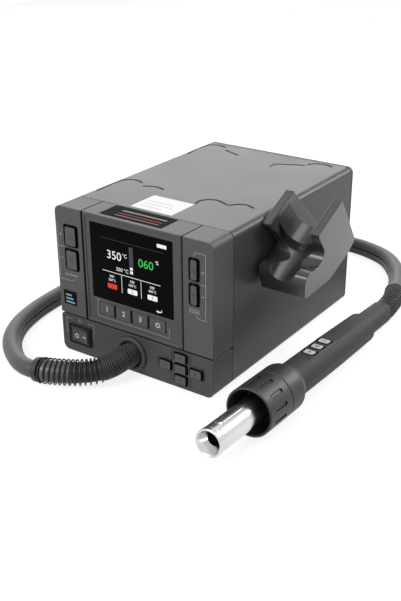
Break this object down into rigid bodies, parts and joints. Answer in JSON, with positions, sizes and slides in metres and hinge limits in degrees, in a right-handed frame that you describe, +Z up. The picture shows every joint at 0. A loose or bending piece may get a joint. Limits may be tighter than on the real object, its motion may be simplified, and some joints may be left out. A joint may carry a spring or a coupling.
{
  "type": "hot air rework station",
  "caption": "Charcoal hot air rework station: boxed blower unit with colour screen and keys, side cradle, hose and steel-nosed handpiece lying beside it",
  "frame": {"origin": "bench level under the middle of the box round the case, cradle and handpiece; the free hose and its sleeves are left out of that box", "axes": "+X to the right along the front panel, +Y from the front panel to the rear, the longest way of that box, +Z up from the bench"},
  "size_m": [0.291, 0.4154, 0.1405],
  "materials": {
    "case_shell": "fine textured charcoal ABS",
    "base_tray": "fine textured ABS",
    "rear_panel": "fine textured ABS",
    "front_panels": "fine textured charcoal ABS",
    "screen_window": "clear cover over the lit display",
    "lcd_module": "display module with its frame",
    "circuit_boards": "dark solder mask",
    "power_supply": "populated supply board",
    "switch": "black polyamide",
    "level_keys": "fine textured ABS",
    "channel_keys": "smooth ABS",
    "pad_keys": "fine textured ABS",
    "blower": "moulded fan case",
    "impeller": "moulded fan wheel",
    "motor": "plated can",
    "gland": "moulded grommet",
    "hose": "silicone hose",
    "hose_springs": "black oxide spring wire",
    "handpiece": "charcoal glass filled nylon",
    "grip_buttons": "light grey ABS",
    "heater_tube": "stainless tube",
    "heater_core": "mica and ceramic",
    "heater_coil": "resistance wire",
    "cradle": "satin charcoal plastic",
    "screws": "zinc plated",
    "feet": "soft rubber"
  },
  "bodies": {
    "root": {"case_shell": "case_shell", "base_tray": "base_tray", "rear_panel": "rear_panel", "front_frame": "front_panels", "display_pod": "front_panels", "lower_panel": "front_panels", "screen_window": "screen_window", "lcd_module": "lcd_module", "display_board": "circuit_boards", "pad_board": "circuit_boards", "main_board": "circuit_boards", "grip_board": "circuit_boards", "power_supply": "power_supply", "switch_frame": "switch", "power_inlet": "switch", "blower_housing": "blower", "blower_cover": "blower", "air_duct": "blower", "blower_motor": "motor", "hose_gland": "gland", "hose": "hose", "hose_collar": "hose", "hose_spring": "hose_springs", "tail_spring": "hose_springs", "grip_lower": "handpiece", "grip_upper": "handpiece", "guard_cup": "handpiece", "guard_collar": "handpiece", "tail_cuff": "handpiece", "heater_barrel": "heater_tube", "thermocouple": "heater_tube", "heater_core": "heater_core", "heater_coil": "heater_coil", "cradle": "cradle", "cradle_pad": "cradle", "cradle_screws": "screws", "case_screws": "screws", "feet": "feet"},
    "temp_key_up": {"temp_key_up": "level_keys"},
    "temp_key_down": {"temp_key_down": "level_keys"},
    "air_key_up": {"air_key_up": "level_keys"},
    "air_key_down": {"air_key_down": "level_keys"},
    "channel_key_1": {"channel_key_1": "channel_keys"},
    "channel_key_2": {"channel_key_2": "channel_keys"},
    "channel_key_3": {"channel_key_3": "channel_keys"},
    "cycle_key": {"cycle_key": "channel_keys"},
    "pad_key_up": {"pad_key_up": "pad_keys"},
    "pad_key_left": {"pad_key_left": "pad_keys"},
    "pad_key_centre": {"pad_key_centre": "pad_keys"},
    "pad_key_right": {"pad_key_right": "pad_keys"},
    "pad_key_down": {"pad_key_down": "pad_keys"},
    "grip_button_1": {"grip_button_1": "grip_buttons"},
    "grip_button_2": {"grip_button_2": "grip_buttons"},
    "grip_button_3": {"grip_button_3": "grip_buttons"},
    "power_rocker": {"power_rocker": "switch"},
    "nozzle": {"nozzle": "heater_tube"},
    "blower_impeller": {"blower_impeller": "impeller"}
  },
  "joints": [
    {"name": "temp_key_up_press", "type": "slide", "parent": "root", "child": "temp_key_up", "axis": [0, 1, 0], "range_m": [0, 0.0009], "stiffness_N_per_m": 900},
    {"name": "temp_key_down_press", "type": "slide", "parent": "root", "child": "temp_key_down", "axis": [0, 1, 0], "range_m": [0, 0.0009], "stiffness_N_per_m": 900},
    {"name": "air_key_up_press", "type": "slide", "parent": "root", "child": "air_key_up", "axis": [0, 1, 0], "range_m": [0, 0.0009], "stiffness_N_per_m": 900},
    {"name": "air_key_down_press", "type": "slide", "parent": "root", "child": "air_key_down", "axis": [0, 1, 0], "range_m": [0, 0.0009], "stiffness_N_per_m": 900},
    {"name": "channel_key_1_press", "type": "slide", "parent": "root", "child": "channel_key_1", "axis": [0, 1, 0], "range_m": [0, 0.0009], "stiffness_N_per_m": 900},
    {"name": "channel_key_2_press", "type": "slide", "parent": "root", "child": "channel_key_2", "axis": [0, 1, 0], "range_m": [0, 0.0009], "stiffness_N_per_m": 900},
    {"name": "channel_key_3_press", "type": "slide", "parent": "root", "child": "channel_key_3", "axis": [0, 1, 0], "range_m": [0, 0.0009], "stiffness_N_per_m": 900},
    {"name": "cycle_key_press", "type": "slide", "parent": "root", "child": "cycle_key", "axis": [0, 1, 0], "range_m": [0, 0.0009], "stiffness_N_per_m": 900},
    {"name": "pad_key_up_press", "type": "slide", "parent": "root", "child": "pad_key_up", "axis": [0, 1, 0], "range_m": [0, 0.0009], "stiffness_N_per_m": 900},
    {"name": "pad_key_left_press", "type": "slide", "parent": "root", "child": "pad_key_left", "axis": [0, 1, 0], "range_m": [0, 0.0009], "stiffness_N_per_m": 900},
    {"name": "pad_key_centre_press", "type": "slide", "parent": "root", "child": "pad_key_centre", "axis": [0, 1, 0], "range_m": [0, 0.0009], "stiffness_N_per_m": 900},
    {"name": "pad_key_right_press", "type": "slide", "parent": "root", "child": "pad_key_right", "axis": [0, 1, 0], "range_m": [0, 0.0009], "stiffness_N_per_m": 900},
    {"name": "pad_key_down_press", "type": "slide", "parent": "root", "child": "pad_key_down", "axis": [0, 1, 0], "range_m": [0, 0.0009], "stiffness_N_per_m": 900},
    {"name": "grip_button_1_press", "type": "slide", "parent": "root", "child": "grip_button_1", "axis": [0, -0.0413, -0.9991], "range_m": [0, 0.0009], "stiffness_N_per_m": 900},
    {"name": "grip_button_2_press", "type": "slide", "parent": "root", "child": "grip_button_2", "axis": [0, -0.0413, -0.9991], "range_m": [0, 0.0009], "stiffness_N_per_m": 900},
    {"name": "grip_button_3_press", "type": "slide", "parent": "root", "child": "grip_button_3", "axis": [0, -0.0413, -0.9991], "range_m": [0, 0.0009], "stiffness_N_per_m": 900},
    {"name": "power_rocker_tilt", "type": "hinge", "parent": "root", "child": "power_rocker", "pos_m": [-0.0889, -0.06921, 0.0184], "axis": [0, 0, 1], "range_deg": [0, 10]},
    {"name": "nozzle_twist", "type": "hinge", "parent": "root", "child": "nozzle", "pos_m": [0.0895, -0.1177, 0.0211], "axis": [0, -0.9991, 0.0413], "range_deg": [0, 22]},
    {"name": "blower_spin", "type": "hinge", "parent": "root", "child": "blower_impeller", "pos_m": [-0.012, 0.04729, 0.0215], "axis": [0, 0, 1], "continuous": true}
  ]
}
